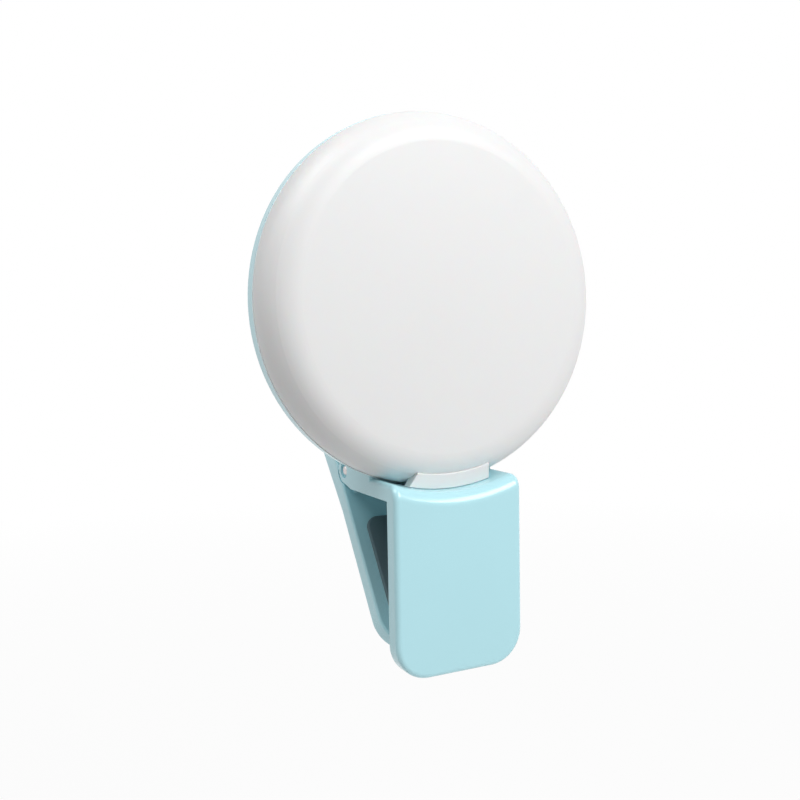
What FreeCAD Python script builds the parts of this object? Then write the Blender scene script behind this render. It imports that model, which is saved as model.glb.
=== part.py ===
"""Clip-on selfie ring light: a milky disc on a one-piece housing with a sprung jaw.

Millimetres. The front looks along -Y and +Z is up. The origin is where a phone seats:
on the mid-plane, under the clip's arm (z = 0) and at the face of the front pad (y = 0).
"""
import FreeCAD, Part
import math
import os

from FreeCAD import Placement, Rotation, Vector

# Disc: the milky front cover and the housing behind it
disc_radius = 42.5
dome_depth = 8.8
dome_round = 7.8
dome_wall = 1.8
lip_wall = 1.0
lip_depth = 2.0
fit_gap = 0.15
rim_step = 0.1
rim_band = 2.9
housing_depth = 9.0
housing_wall = 1.8
shell_turn_deg = 45.0
rim_plane_y = 7.6

# Foot of the cover, which sits in the saddle
foot_width = 18.0
foot_offset = 2.0
foot_setback = 1.6
foot_round = 0.8

# Clip: arm, saddle and front jaw, one moulding with the housing
clip_width = 32.4
saddle_gap = 0.4
web_thickness = 1.3
jaw_thickness = 4.4
jaw_length = 39.7
jaw_corner = 8.0
jaw_edge = 1.2
saddle_edge = 3.0
side_edge = 0.4

# Hinge
pin_y = 22.0
pin_z = 4.1
pin_radius = 1.2
pin_end_inset = 0.25
bore_gap = 0.05
counterbore_radius = 1.8
counterbore_depth = 0.7
hub_radius = 3.2
cheek_width = 2.1
ear_width = 2.6
ear_radius = 2.9
side_gap = 0.3
neck_height = 13.0

# Lever: the gripping leg and the thumb part above the pin
lever_offset = 2.8
tip_gap = 0.7
leg_length = 43.5
leg_thickness = 4.3
leg_edge = 0.6
bend_height = 10.0
thumb_height = 27.0
thumb_lean_deg = 12.0
outer_flare_deg = 6.0
flare_start = -7.4
thumb_corner = 8.5
rib_count = 5
rib_pitch = 2.6
rib_width = 1.1
rib_rise = 0.6
rib_length = 18.0
rib_margin = 5.0

# Pads of soft rubber, set in shallow pockets
front_pad_width = 25.0
front_pad_top = -4.0
front_pad_tip_gap = 4.85
front_pad_proud = 1.0
lever_pad_width = 26.0
lever_pad_start = 11.6
lever_pad_tip_gap = 5.5
lever_pad_proud = 0.8
pad_pocket = 0.5
pad_corner = 3.0

# Spring round the pin
wire_radius = 0.4
wire_sides = 8
coil_radius = 2.2
coil_turns = 6
coil_pitch = 0.95
spring_leg_length = 8.5
ring_gap = 0.12

# Electronics in the disc
board_thickness = 0.8
led_board_setback = 2.0
led_board_margin = 4.3
led_board_band = 14.5
led_count = 24
led_inset = 5.5
led_size = 3.0
led_height = 0.9
board_boss_inset = 4.0
board_boss_radius = 2.2
screw_radius = 0.8
screw_head_radius = 1.5
screw_head_height = 0.6
screw_depth = 2.2
reflector_wall = 0.5
reflector_rise = 4.5
reflector_foot = 2.6
control_board_width = 20.0
control_board_length = 20.0
control_board_margin = 7.3
socket_tab_width = 9.0
socket_tab_margin = 3.6
control_setback = 3.6
control_boss_x = 8.0
control_boss_inset = 3.5
socket_width = 7.5
socket_height = 2.5
socket_depth = 5.4
socket_gap = 0.2
socket_recess = 1.6
battery_width = 30.0
battery_thickness = 3.4
battery_boss_gap = 6.5
battery_board_gap = 12.0
battery_corner = 1.5
tape_thickness = 0.3

# Power button and light pipe on the back
button_inset = 8.0
button_radius = 3.4
button_gap = 0.15
button_rise = 0.7
flange_radius = 4.3
flange_thickness = 0.7
flange_gap = 0.1
switch_size = 4.5
switch_body = 1.0
plunger_radius = 0.9
button_play = 0.4
pipe_inset = 3.5
pipe_radius = 0.9

# Places worked out from the sizes above
saddle_radius = disc_radius + saddle_gap
disc_z = web_thickness + saddle_radius
rim_radius = disc_radius + rim_step
cavity_radius = rim_radius - housing_wall
dome_front_y = rim_plane_y - dome_depth
back_y = rim_plane_y + housing_depth
back_inner_y = back_y - housing_wall
jaw_inner_y = -front_pad_proud
jaw_front_y = jaw_inner_y - jaw_thickness
tip_reach = pin_y - jaw_inner_y - tip_gap
lean = math.asin(tip_reach / math.hypot(leg_length, lever_offset)) + math.atan2(lever_offset, leg_length)
tip_z = pin_z - leg_length * math.cos(lean) - lever_offset * math.sin(lean)
front_pad_bottom = tip_z + front_pad_tip_gap
lever_pad_end = leg_length - lever_pad_tip_gap
neck_back_y = pin_y - hub_radius - side_gap
half_width = clip_width / 2
cheek_inner_x = half_width - cheek_width
ear_outer_x = cheek_inner_x - side_gap
groove_radius = hub_radius + side_gap
led_board_outer = cavity_radius - led_board_margin
led_board_inner = led_board_outer - led_board_band
led_circle = led_board_outer - led_inset
board_boss_circle = led_board_inner + board_boss_inset
socket_tab_top = cavity_radius - socket_tab_margin
control_board_top = cavity_radius - control_board_margin
control_board_bottom = control_board_top - control_board_length
control_boss_height = control_board_bottom + control_boss_inset
button_height = control_board_bottom + button_inset
pipe_height = control_board_top - pipe_inset
battery_bottom = battery_boss_gap - board_boss_circle
battery_top = control_board_bottom - battery_board_gap
led_board_y = rim_plane_y + led_board_setback
led_board_back_y = led_board_y + board_thickness
control_y = rim_plane_y + control_setback
control_back_y = control_y + board_thickness
shell_turn = math.radians(shell_turn_deg)
shell_radius = (housing_depth - rim_band) / (1 - math.sin(shell_turn))


def disc_revolve(points):
    """Revolve (radius, y) points of a closed outline round the disc's axis."""
    corners = [Vector(radius, y, disc_z) for radius, y in points]
    face = Part.Face(Part.makePolygon(corners + corners[:1]))
    return face.revolve(Vector(0, 0, disc_z), Vector(0, 1, 0), 360)


def disc_cylinder(radius, y_from, y_to, x=0.0, up=0.0):
    """Cylinder along Y, placed from the disc's centre."""
    return Part.makeCylinder(radius, y_to - y_from, Vector(x, y_from, disc_z + up), Vector(0, 1, 0))


def pin_cylinder(radius, x_from, x_to):
    """Cylinder along X round the hinge pin's axis."""
    return Part.makeCylinder(radius, x_to - x_from, Vector(x_from, pin_y, pin_z), Vector(1, 0, 0))


def box(x_from, x_to, y_from, y_to, z_from, z_to):
    return Part.makeBox(x_to - x_from, y_to - y_from, z_to - z_from, Vector(x_from, y_from, z_from))


def rounded_slab(width, bottom, top, radius, depth):
    """Slab with four round corners: width along X, height along Z, depth along Y from y = 0."""
    slab = box(-width / 2, width / 2, 0, depth, bottom, top)
    uprights = [e for e in slab.Edges if abs(e.tangentAt(e.FirstParameter).y) > 0.9]
    return slab.makeFillet(radius, uprights)


def shell_outline():
    """Half section of the housing's outside, from the rim to the axis."""
    centre_radius = rim_radius - shell_radius * math.cos(shell_turn)
    centre_y = back_y - shell_radius
    band_end = centre_y + shell_radius * math.sin(shell_turn)
    middle = (shell_turn + math.pi / 2) / 2

    def on_arc(angle):
        return Vector(centre_radius + shell_radius * math.cos(angle), centre_y + shell_radius * math.sin(angle), disc_z)

    first = Vector(rim_radius, rim_plane_y, disc_z)
    corner = Vector(rim_radius, band_end, disc_z)
    flat = on_arc(math.pi / 2)
    centre_back = Vector(0, flat.y, disc_z)
    centre_front = Vector(0, rim_plane_y, disc_z)
    edges = [
        Part.makeLine(first, corner),
        Part.Arc(corner, on_arc(middle), flat).toShape(),
        Part.makeLine(flat, centre_back),
        Part.makeLine(centre_back, centre_front),
        Part.makeLine(centre_front, first),
    ]
    return Part.Face(Part.Wire(edges))


def shell_solid():
    return shell_outline().revolve(Vector(0, 0, disc_z), Vector(0, 1, 0), 360)


def shell_hollow():
    """Space inside the housing, with its round edge cut in plain slopes."""
    turned = shell_radius - housing_wall
    centre_radius = rim_radius - shell_radius * math.cos(shell_turn)
    start = math.acos((cavity_radius - centre_radius) / turned)
    points = [(0, rim_plane_y), (cavity_radius, rim_plane_y)]
    for step in range(4):
        angle = start + (math.pi / 2 - start) * step / 3
        points.append((centre_radius + turned * math.cos(angle), back_y - shell_radius + turned * math.sin(angle)))
    points.append((0, back_inner_y))
    return disc_revolve(points)


def arm_profile():
    """Side view of the arm between the saddle and the hinge hub."""
    underside = [Vector(0, jaw_inner_y, 0), Vector(0, neck_back_y, 0)]
    hub_low = Vector(0, pin_y, pin_z - hub_radius)
    hub_back = Vector(0, pin_y + hub_radius, pin_z)
    hub_top = Vector(0, pin_y, pin_z + hub_radius)
    neck_top = Vector(0, neck_back_y, neck_height)
    inside_top = Vector(0, rim_plane_y + housing_wall, neck_height)
    inside_low = Vector(0, jaw_inner_y, neck_height)
    edges = [
        Part.makeLine(underside[0], underside[1]),
        Part.makeLine(underside[1], hub_low),
        Part.Arc(hub_low, hub_back, hub_top).toShape(),
        Part.makeLine(hub_top, neck_top),
        Part.makeLine(neck_top, inside_top),
        Part.makeLine(inside_top, inside_low),
        Part.makeLine(inside_low, underside[0]),
    ]
    return Part.Face(Part.Wire(edges))


def arm_block():
    """Arm with its two hub cheeks, open between them for the lever's ears."""
    arm = arm_profile().extrude(Vector(clip_width, 0, 0))
    arm.translate(Vector(-half_width, 0, 0))
    room = box(-cheek_inner_x, cheek_inner_x, neck_back_y, pin_y + 2 * hub_radius, -1, 2 * neck_height)
    return arm.cut(room)


def jaw_plate():
    """Front jaw: a plate with round lower corners, tall enough to reach into the saddle."""
    plate = rounded_slab(clip_width, -jaw_length, 2 * neck_height, jaw_corner, jaw_thickness)
    plate.translate(Vector(0, jaw_front_y, 0))
    return plate


def saddle_cutter():
    """Round space for the cover, through the arm and the jaw down to the housing's rim."""
    return disc_cylinder(saddle_radius, jaw_front_y - 1, rim_plane_y)


def board_bosses():
    """Posts that carry the ring board and the control board, from the housing's back wall."""
    posts = []
    for angle in (30, 150, 270):
        x = board_boss_circle * math.cos(math.radians(angle))
        up = board_boss_circle * math.sin(math.radians(angle))
        posts.append(disc_cylinder(board_boss_radius, led_board_back_y, back_inner_y, x, up))
    for x in (-control_boss_x, control_boss_x):
        posts.append(disc_cylinder(board_boss_radius, control_back_y, back_inner_y, x, control_boss_height))
    return posts


def screw_places():
    """Where the board screws stand: (x, height over the disc's axis, y of the board's front)."""
    ring = []
    for angle in (30, 150, 270):
        x = board_boss_circle * math.cos(math.radians(angle))
        ring.append((x, board_boss_circle * math.sin(math.radians(angle)), led_board_y))
    control = [(x, control_boss_height, control_y) for x in (-control_boss_x, control_boss_x)]
    return ring, control


def screw(x, up, board_front):
    shank = disc_cylinder(screw_radius, board_front, board_front + board_thickness + screw_depth, x, up)
    head = disc_cylinder(screw_head_radius, board_front - screw_head_height, board_front, x, up)
    return shank.fuse(head).removeSplitter()


def screw_hole(x, up, board_front):
    return disc_cylinder(screw_radius, board_front, board_front + board_thickness + screw_depth, x, up)


def socket_centre_z():
    return disc_z + rim_radius - socket_recess - socket_depth


def socket_box(margin):
    """Outside of the charging socket at the top of the rim, grown by a margin."""
    half = socket_width / 2 + margin
    low = socket_centre_z()
    return box(-half, half, control_y - socket_height - margin, control_y + margin, low, low + socket_depth + 2)


def front_pad_solid():
    pad = rounded_slab(front_pad_width, front_pad_bottom, front_pad_top, pad_corner,
                       front_pad_proud + pad_pocket)
    pad.translate(Vector(0, jaw_inner_y - pad_pocket, 0))
    return pad


def rear_housing():
    """One moulding: disc housing, arm, hub cheeks, saddle and front jaw."""
    jaw = jaw_plate()
    arm = arm_block()
    clip = arm.fuse(jaw).cut(saddle_cutter()).removeSplitter()
    clip = soften_clip(clip)
    body = clip.fuse(shell_solid()).removeSplitter()
    body = body.cut(shell_hollow())
    for post in board_bosses():
        body = body.fuse(post)
    ring, control = screw_places()
    for place in ring + control:
        body = body.cut(screw_hole(*place))
    body = body.cut(pin_cylinder(pin_radius, -half_width, half_width))
    for side in (-1, 1):
        outer = side * half_width
        inner = side * (half_width - counterbore_depth)
        body = body.cut(pin_cylinder(counterbore_radius, min(outer, inner), max(outer, inner)))
    body = body.cut(front_pad_solid())
    body = body.cut(socket_box(socket_gap))
    body = body.cut(disc_cylinder(button_radius + button_gap, back_inner_y - 1, back_y + 1, 0, button_height))
    body = body.cut(disc_cylinder(pipe_radius, back_inner_y - 2, back_y + 1, 0, pipe_height))
    return body.removeSplitter()


def soften_clip(clip):
    """Round the saddle's front edge first, then the jaw's other front edges and the clip's side edges."""
    clip = clip.makeFillet(saddle_edge, [e for e in front_edges(clip) if e.BoundBox.ZMin > 0])
    clip = clip.makeFillet(jaw_edge, [e for e in front_edges(clip) if e.BoundBox.XLength < clip_width / 2])
    return clip.makeFillet(side_edge, side_edges(clip))


def side_edges(clip):
    """Edges round the jaw's inner face, and along the arm and hub at the clip's two sides."""
    chosen = []
    for edge in clip.Edges:
        bounds = edge.BoundBox
        behind = bounds.YMin > jaw_inner_y - 0.01
        round_jaw = behind and bounds.YMax < jaw_inner_y + 0.01 and bounds.ZMax < 0.01
        at_side = bounds.XLength < 0.01 and abs(abs(bounds.XMin) - half_width) < 0.01
        under_arm = behind and at_side and bounds.ZMax < pin_z + hub_radius + 0.01
        if (round_jaw and bounds.ZLength > 0.01) or under_arm:
            chosen.append(edge)
    return chosen


def front_edges(clip):
    """Edges that lie in the jaw's front plane."""
    return [e for e in clip.Edges if e.BoundBox.YMax < jaw_front_y + 0.01]


def diffuser_dome():
    """Milky front cover with a round edge, a snap lip behind and a foot for the saddle."""
    cover = dome_solid().cut(dome_hollow())
    lip_outer = cavity_radius - fit_gap
    lip = disc_cylinder(lip_outer, rim_plane_y - lip_depth, rim_plane_y + lip_depth)
    lip = lip.cut(disc_cylinder(lip_outer - lip_wall, rim_plane_y - lip_depth, rim_plane_y + lip_depth))
    cover = cover.fuse(lip).fuse(dome_foot()).removeSplitter()
    return cover.cut(socket_box(socket_gap))


def dome_edge(turn, offset):
    """Point on the cover's edge, turned from its front, on the profile moved inward by offset.

    Two arcs meet at 45 degrees. The one at the rim is flatter, by what the edge's depth exceeds its width.
    """
    slope = math.sqrt(0.5)
    spread = (dome_depth - dome_round) / (1 / slope - 1)
    front_arc = dome_depth - spread * slope
    rim_arc = front_arc + spread
    angle = math.radians(turn)
    if turn <= 45:
        radius = disc_radius - dome_round + (front_arc - offset) * math.sin(angle)
        return Vector(radius, dome_front_y + front_arc - (front_arc - offset) * math.cos(angle), disc_z)
    radius = disc_radius - rim_arc + (rim_arc - offset) * math.sin(angle)
    return Vector(radius, rim_plane_y - (rim_arc - offset) * math.cos(angle), disc_z)


def dome_solid():
    """Solid of the cover's outside: flat front and an edge of two arcs."""
    front = Vector(0, dome_front_y, disc_z)
    back = Vector(0, rim_plane_y, disc_z)
    edges = [
        Part.makeLine(front, dome_edge(0, 0)),
        Part.Arc(dome_edge(0, 0), dome_edge(22.5, 0), dome_edge(45, 0)).toShape(),
        Part.Arc(dome_edge(45, 0), dome_edge(67.5, 0), dome_edge(90, 0)).toShape(),
        Part.makeLine(dome_edge(90, 0), back),
        Part.makeLine(back, front),
    ]
    return Part.Face(Part.Wire(edges)).revolve(Vector(0, 0, disc_z), Vector(0, 1, 0), 360)


def dome_hollow():
    """Space behind the cover, with its round edge cut in plain slopes."""
    edge = [dome_edge(turn, dome_wall) for turn in (0, 30, 60, 90)]
    points = [(0, edge[0].y)] + [(point.x, point.y) for point in edge] + [(0, rim_plane_y)]
    return disc_revolve(points)


def dome_foot():
    """Tab under the cover: its lower face follows the saddle, its front stands back a little."""
    left = foot_offset - foot_width / 2
    right = foot_offset + foot_width / 2
    front_y = dome_front_y + foot_setback
    tab = box(left, right, front_y, rim_plane_y, disc_z - disc_radius - 2, disc_z - disc_radius + 4)
    tab = tab.common(disc_cylinder(saddle_radius - fit_gap, front_y, rim_plane_y))
    tab = tab.cut(disc_cylinder(disc_radius - dome_wall, front_y - 1, rim_plane_y + 1))
    sides = [e for e in tab.Edges if e.BoundBox.YMax < front_y + 0.01]
    return tab.makeFillet(foot_round, sides)


def ring_board():
    board = disc_cylinder(led_board_outer, led_board_y, led_board_back_y)
    board = board.cut(disc_cylinder(led_board_inner, led_board_y, led_board_back_y))
    for place in screw_places()[0]:
        board = board.cut(screw_hole(*place))
    return board.cut(socket_box(socket_gap))


def led(index):
    """One square lamp on the ring board, turned to face along its radius."""
    body = box(-led_size / 2, led_size / 2, led_board_y - led_height, led_board_y,
               led_circle - led_size / 2, led_circle + led_size / 2)
    body.rotate(Vector(0, 0, 0), Vector(0, 1, 0), 360.0 * (index + 0.5) / led_count)
    body.translate(Vector(0, 0, disc_z))
    return body


def reflector():
    """White collar round the lamps that sends side light forward, with a notch for the socket."""
    y_from = led_board_y - reflector_rise
    collar = disc_revolve([
        (led_board_outer - reflector_foot, led_board_y),
        (led_board_outer - reflector_foot, led_board_y - reflector_wall),
        (led_board_outer - 2 * reflector_wall, led_board_y - reflector_wall),
        (led_board_outer - reflector_wall, y_from),
        (led_board_outer, y_from),
        (led_board_outer, led_board_y),
    ])
    return collar.cut(socket_box(socket_gap))


def control_board():
    half = control_board_width / 2
    tab_half = socket_tab_width / 2
    board = box(-half, half, control_y, control_back_y,
                disc_z + control_board_bottom, disc_z + control_board_top)
    tab = box(-tab_half, tab_half, control_y, control_back_y,
              disc_z + control_board_bottom, disc_z + socket_tab_top)
    board = board.fuse(tab).removeSplitter()
    for place in screw_places()[1]:
        board = board.cut(screw_hole(*place))
    return board


def charging_socket():
    """Metal shell of a micro USB socket with its open mouth and tongue."""
    half = socket_width / 2
    low = socket_centre_z()
    high = low + socket_depth
    shell_wall = 0.3
    shell = box(-half, half, control_y - socket_height, control_y, low, high)
    corners = [e for e in shell.Edges if e.BoundBox.ZLength > socket_depth - 0.01 and e.BoundBox.YMax < control_y - 1]
    shell = shell.makeFillet(0.6, corners)
    mouth = box(-half + shell_wall, half - shell_wall, control_y - socket_height + shell_wall,
                control_y - shell_wall, low + 1.0, high + 1)
    tongue = box(-half + 1.6, half - 1.6, control_y - socket_height + 0.9, control_y - 0.9, low, high - 0.8)
    return shell.cut(mouth).fuse(tongue).removeSplitter()


def button_parts_y():
    """Back faces of the switch body and its plunger, and front face of the button's flange."""
    body = control_back_y + switch_body
    flange_front = back_inner_y - flange_gap - flange_thickness
    plunger = flange_front - button_play
    return body, plunger, flange_front


def tact_switch():
    body_y, plunger_y, _ = button_parts_y()
    half = switch_size / 2
    centre = disc_z + button_height
    body = box(-half, half, control_back_y, body_y, centre - half, centre + half)
    return body.fuse(disc_cylinder(plunger_radius, body_y, plunger_y, 0, button_height)).removeSplitter()


def power_button():
    _, _, flange_front = button_parts_y()
    flange_back = flange_front + flange_thickness
    stem = disc_cylinder(button_radius, flange_back, back_y + button_rise, 0, button_height)
    rim = [e for e in stem.Edges if e.BoundBox.YMin > back_y + button_rise - 0.01]
    stem = stem.makeChamfer(0.4, rim)
    flange = disc_cylinder(flange_radius, flange_front, flange_back, 0, button_height)
    return stem.fuse(flange).removeSplitter()


def light_pipe():
    """Clear rod through the back wall, from the board's lamp to flush with the outside."""
    rod = disc_cylinder(pipe_radius, control_back_y, back_y + 1, 0, pipe_height)
    return rod.common(shell_solid())


def battery():
    cell = rounded_slab(battery_width, battery_bottom, battery_top, battery_corner, battery_thickness)
    cell.translate(Vector(0, back_inner_y - tape_thickness - battery_thickness, disc_z))
    return cell


def battery_tape():
    half = battery_width / 2 - 3
    reach = (battery_top - battery_bottom) / 2 - 3
    centre = disc_z + (battery_top + battery_bottom) / 2
    return box(-half, half, back_inner_y - tape_thickness, back_inner_y, centre - reach, centre + reach)


def hinge_pin():
    end = half_width - pin_end_inset
    pin = pin_cylinder(pin_radius, -end, end)
    ends = [e for e in pin.Edges if e.BoundBox.XLength < 0.01]
    return pin.makeChamfer(0.25, ends)


# The lever is drawn in its own plane: along = up the leg, out = from the pin to the leg's inner face.
# It leans so that its closed tip stands tip_gap behind the jaw's inner face.
leg_up = Vector(0, math.sin(lean), math.cos(lean))
leg_out = Vector(0, math.cos(lean), -math.sin(lean))
pin_axis = Vector(0, pin_y, pin_z)


def lever_point(along, out):
    """Point on the mid-plane, from its place along the leg and out from the leg's inner face."""
    return pin_axis + leg_up * along + leg_out * (lever_offset + out)


def lever_profile():
    """Side view of the lever: a straight leg that thickens into the leaning thumb part."""
    flare = math.tan(math.radians(outer_flare_deg))
    turn = math.tan(math.radians(thumb_lean_deg))
    top_out = leg_thickness + (thumb_height - flare_start) * flare
    top_in = (thumb_height - bend_height) * turn
    corners = [
        lever_point(-leg_length, 0),
        lever_point(-leg_length, leg_thickness),
        lever_point(flare_start, leg_thickness),
        lever_point(thumb_height, top_out),
        lever_point(thumb_height, top_in),
        lever_point(bend_height, 0),
    ]
    return Part.Face(Part.makePolygon(corners + corners[:1]))


def lever_frame(solid):
    """Put a solid drawn upright (Z up, Y out of the inner face) into the leaning lever's place."""
    turn = Rotation(Vector(1, 0, 0), -math.degrees(lean))
    placed = solid.copy()
    placed.Placement = Placement(lever_point(0, 0), turn).multiply(placed.Placement)
    return placed


def lever_outline():
    """Upright slab with the lever's round corners at both ends."""
    depth = 4 * leg_thickness
    lower = rounded_slab(clip_width, -leg_length, bend_height, jaw_corner, depth)
    upper = rounded_slab(clip_width, -bend_height, thumb_height, thumb_corner, depth)
    outline = lower.fuse(upper).removeSplitter()
    outline.translate(Vector(0, -leg_thickness, 0))
    return outline


def lever_pad_solid():
    pad = rounded_slab(lever_pad_width, -lever_pad_end, -lever_pad_start, pad_corner,
                       lever_pad_proud + pad_pocket)
    pad.translate(Vector(0, -lever_pad_proud, 0))
    return lever_frame(pad)


def lever_ears():
    """Two eyes on the leg's inner face that turn on the pin."""
    reach = 5.0
    eye_half = ear_radius
    ears = []
    for side in (-1, 1):
        x_from = min(side * ear_outer_x, side * (ear_outer_x - ear_width))
        foot = Part.makePolygon([
            lever_point(-reach, 1), lever_point(reach, 1), lever_point(reach, 0),
            lever_point(eye_half, -lever_offset), lever_point(-eye_half, -lever_offset),
            lever_point(-reach, 0), lever_point(-reach, 1)])
        web = Part.Face(foot).extrude(Vector(ear_width, 0, 0))
        web.translate(Vector(x_from, 0, 0))
        ears.append(web.fuse(pin_cylinder(ear_radius, x_from, x_from + ear_width)))
    return ears


def thumb_ribs():
    """Grip ribs across the outside of the thumb part."""
    flare = math.tan(math.radians(outer_flare_deg))
    ribs = []
    for index in range(rib_count):
        along = thumb_height - rib_margin - index * rib_pitch
        out = leg_thickness + (along - flare_start) * flare
        rib = box(-rib_length / 2, rib_length / 2, out - 1, out + rib_rise, along - rib_width / 2, along + rib_width / 2)
        top = [e for e in rib.Edges if e.BoundBox.YMin > out + rib_rise - 0.01]
        ribs.append(lever_frame(rib.makeFillet(0.4, top)))
    return ribs


def rear_lever():
    """Moving jaw: gripping leg below the pin, thumb part above it, with ears, groove and ribs."""
    body = lever_profile().extrude(Vector(clip_width, 0, 0))
    body.translate(Vector(-half_width, 0, 0))
    body = body.common(lever_frame(lever_outline()))
    body = body.makeFillet(leg_edge, long_edges(body))
    for side in (-1, 1):
        inner = side * (cheek_inner_x - side_gap)
        outer = side * (half_width + 1)
        body = body.cut(pin_cylinder(groove_radius, min(inner, outer), max(inner, outer)))
    for piece in lever_ears() + thumb_ribs():
        body = body.fuse(piece)
    body = body.cut(pin_cylinder(pin_radius + bore_gap, -half_width, half_width))
    return body.cut(lever_pad_solid()).removeSplitter()


def long_edges(body):
    """Edges of the lever's outline, on its inner and outer faces."""
    chosen = []
    for edge in body.Edges:
        bounds = edge.BoundBox
        along_x = bounds.XLength > clip_width - 2 * jaw_corner - 0.1 and bounds.YLength < 0.01
        at_bend = along_x and edge.Length > clip_width - 0.1
        across = bounds.XLength < 0.01 and abs(edge.tangentAt(edge.FirstParameter).dot(leg_out)) > 0.9
        if not at_bend and not across:
            chosen.append(edge)
    return chosen


def spring_leg_angle(reach):
    """Lean that takes a leg of the spring from its coil to a wall at a distance from the pin."""
    diagonal = math.hypot(coil_radius, spring_leg_length)
    return math.asin(reach / diagonal) - math.atan2(coil_radius, spring_leg_length)


def wire_section(centre, across, up):
    """Eight-sided outline of the wire, closed, in the plane of two unit directions."""
    corners = []
    for index in range(wire_sides + 1):
        angle = 2 * math.pi * (index + 0.5) / wire_sides
        corners.append(centre + across * (wire_radius * math.cos(angle)) + up * (wire_radius * math.sin(angle)))
    corners[-1] = corners[0]
    return Part.makePolygon(corners)


def wire(start, end):
    """Straight length of wire across the pin's axis."""
    axis = end - start
    side = Vector(1, 0, 0)
    across = side.cross(axis).normalize()
    return Part.Face(wire_section(start, side, across)).extrude(axis)


def spring_coil():
    """Turns of the spring round the pin, with the leg that rests on the neck."""
    length = coil_pitch * coil_turns
    helix = Part.makeHelix(coil_pitch, length, coil_radius)
    start = Vector(coil_radius, 0, 0)
    section = wire_section(start, Vector(1, 0, 0), Vector(0, 0, 1))
    coil = Part.Wire(helix.Edges).makePipeShell([section], True, True)
    coil.rotate(Vector(0, 0, 0), Vector(0, 1, 0), 90)
    coil.rotate(Vector(0, 0, 0), Vector(1, 0, 0), 90)
    reach = pin_y - neck_back_y - wire_radius - 0.05
    lean_angle = spring_leg_angle(reach)
    coil.rotate(Vector(0, 0, 0), Vector(1, 0, 0), coil_start_turn(coil, lean_angle))
    coil.translate(Vector(-length / 2, pin_y, pin_z))
    sine = math.sin(lean_angle)
    cosine = math.cos(lean_angle)
    root = Vector(-length / 2, pin_y - coil_radius * cosine, pin_z - coil_radius * sine)
    tip = root + Vector(0, -sine, cosine) * spring_leg_length
    return coil.fuse(wire(root, tip)).removeSplitter()


def coil_start_turn(coil, lean_angle):
    """Turn in degrees that brings the coil's first end to the root of the fixed leg."""
    ends = [f for f in coil.Faces if f.Surface.TypeId == "Part::GeomPlane"]
    first = min(ends, key=lambda f: f.CenterOfMass.x).CenterOfMass
    now = math.degrees(math.atan2(first.z, first.y))
    wanted = math.degrees(math.atan2(-math.sin(lean_angle), -math.cos(lean_angle)))
    return wanted - now


def spring_leg():
    """Last turn of the spring with the leg that pushes on the lever's inner face."""
    ring_x = coil_pitch * coil_turns / 2 + 2 * wire_radius + ring_gap
    section = wire_section(Vector(ring_x, pin_y + coil_radius, pin_z), Vector(1, 0, 0), Vector(0, 1, 0))
    ring = Part.Face(section).revolve(Vector(0, pin_y, pin_z), Vector(1, 0, 0), 360)
    root = Vector(ring_x, pin_y, pin_z) + leg_out * coil_radius
    tip = root + leg_up * spring_leg_length
    return ring.fuse(wire(root - leg_up * wire_radius, tip)).removeSplitter()


def all_parts():
    parts = {
        "rear_housing": rear_housing(),
        "diffuser_dome": diffuser_dome(),
        "led_board": ring_board(),
        "reflector_ring": reflector(),
        "control_board": control_board(),
        "charging_socket": charging_socket(),
        "tact_switch": tact_switch(),
        "battery": battery(),
        "battery_tape": battery_tape(),
        "light_pipe": light_pipe(),
        "power_button": power_button(),
        "front_pad": front_pad_solid(),
        "hinge_pin": hinge_pin(),
        "spring_coil": spring_coil(),
        "spring_leg": spring_leg(),
        "rear_lever": rear_lever(),
        "rear_pad": lever_pad_solid(),
    }
    for index in range(led_count):
        parts[f"led_{index + 1:02d}"] = led(index)
    ring, control = screw_places()
    for index, place in enumerate(ring):
        parts[f"board_screw_{index + 1}"] = screw(*place)
    for index, place in enumerate(control):
        parts[f"control_screw_{index + 1}"] = screw(*place)
    return parts


def main():
    os.makedirs("parts", exist_ok=True)
    for name, shape in all_parts().items():
        bounds = shape.BoundBox
        print(f"{name:16s} solids {len(shape.Solids)} valid {shape.isValid()} volume {shape.Volume:9.1f} "
              f"x {bounds.XMin:7.2f} {bounds.XMax:7.2f} y {bounds.YMin:7.2f} {bounds.YMax:7.2f} "
              f"z {bounds.ZMin:7.2f} {bounds.ZMax:7.2f}")
        shape.exportStep(f"parts/{name}.step")


main()
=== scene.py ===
"""Looks of a clip-on selfie ring light: finishes for its moulded, rubber and steel pieces, and its stage."""

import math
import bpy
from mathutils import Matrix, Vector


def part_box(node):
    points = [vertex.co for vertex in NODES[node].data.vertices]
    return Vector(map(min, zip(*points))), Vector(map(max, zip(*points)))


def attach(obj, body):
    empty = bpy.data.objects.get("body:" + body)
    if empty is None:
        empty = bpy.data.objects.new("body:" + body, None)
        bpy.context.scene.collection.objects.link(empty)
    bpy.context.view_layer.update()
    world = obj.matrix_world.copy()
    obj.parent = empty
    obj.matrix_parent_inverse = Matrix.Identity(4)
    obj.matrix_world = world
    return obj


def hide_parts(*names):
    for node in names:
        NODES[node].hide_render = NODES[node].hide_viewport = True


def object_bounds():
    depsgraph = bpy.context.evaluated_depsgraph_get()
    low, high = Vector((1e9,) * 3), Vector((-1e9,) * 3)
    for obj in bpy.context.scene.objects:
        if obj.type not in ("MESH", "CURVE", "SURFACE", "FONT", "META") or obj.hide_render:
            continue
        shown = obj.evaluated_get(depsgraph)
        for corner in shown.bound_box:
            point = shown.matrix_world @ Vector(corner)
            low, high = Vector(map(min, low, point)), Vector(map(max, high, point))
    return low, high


bl_info = {
    "name": "Selfie ring light",
    "version": (1, 0, 0),
    "blender": (4, 5, 0),
    "location": "3D View > Sidebar > Ring light",
    "description": "Finishes a clip-on ring light and sets up its studio",
    "category": "Object",
}

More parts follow.
